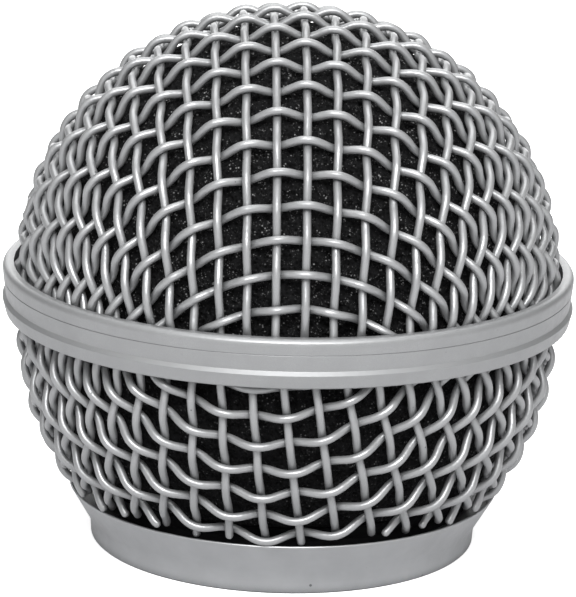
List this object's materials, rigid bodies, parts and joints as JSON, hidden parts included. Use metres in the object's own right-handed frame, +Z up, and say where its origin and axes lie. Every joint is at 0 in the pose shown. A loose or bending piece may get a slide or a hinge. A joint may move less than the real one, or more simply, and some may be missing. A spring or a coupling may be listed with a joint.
{
  "type": "microphone ball grille",
  "caption": "Screw-on ball grille for a handheld microphone: woven wire dome and bowl, waist band, foam liners and an internally threaded collar.",
  "frame": {"origin": "on the axis, at the collar's bottom face, where the grille meets the handle", "axes": "+Z up along the thread axis to the top of the dome; -Y is the front"},
  "size_m": [0.051, 0.051, 0.0485],
  "materials": {
    "wire_paint": "satin silver paint over woven steel wire",
    "band_paint": "satin silver paint",
    "bare_steel": "plain rolled steel",
    "collar_metal": "satin, fine-turned",
    "dark_steel": "black oxide",
    "foam": "black open-cell polyurethane foam"
  },
  "bodies": {
    "root": {"dome_warp_wires": "wire_paint", "dome_weft_wires": "wire_paint", "bowl_warp_wires": "wire_paint", "bowl_weft_wires": "wire_paint", "upper_band_ring": "band_paint", "lower_band_ring": "band_paint", "inner_clamp_ring": "bare_steel", "collar": "collar_metal", "mesh_seat_ring": "dark_steel", "foam_dome_liner": "foam", "foam_bowl_liner": "foam"}
  },
  "joints": []
}
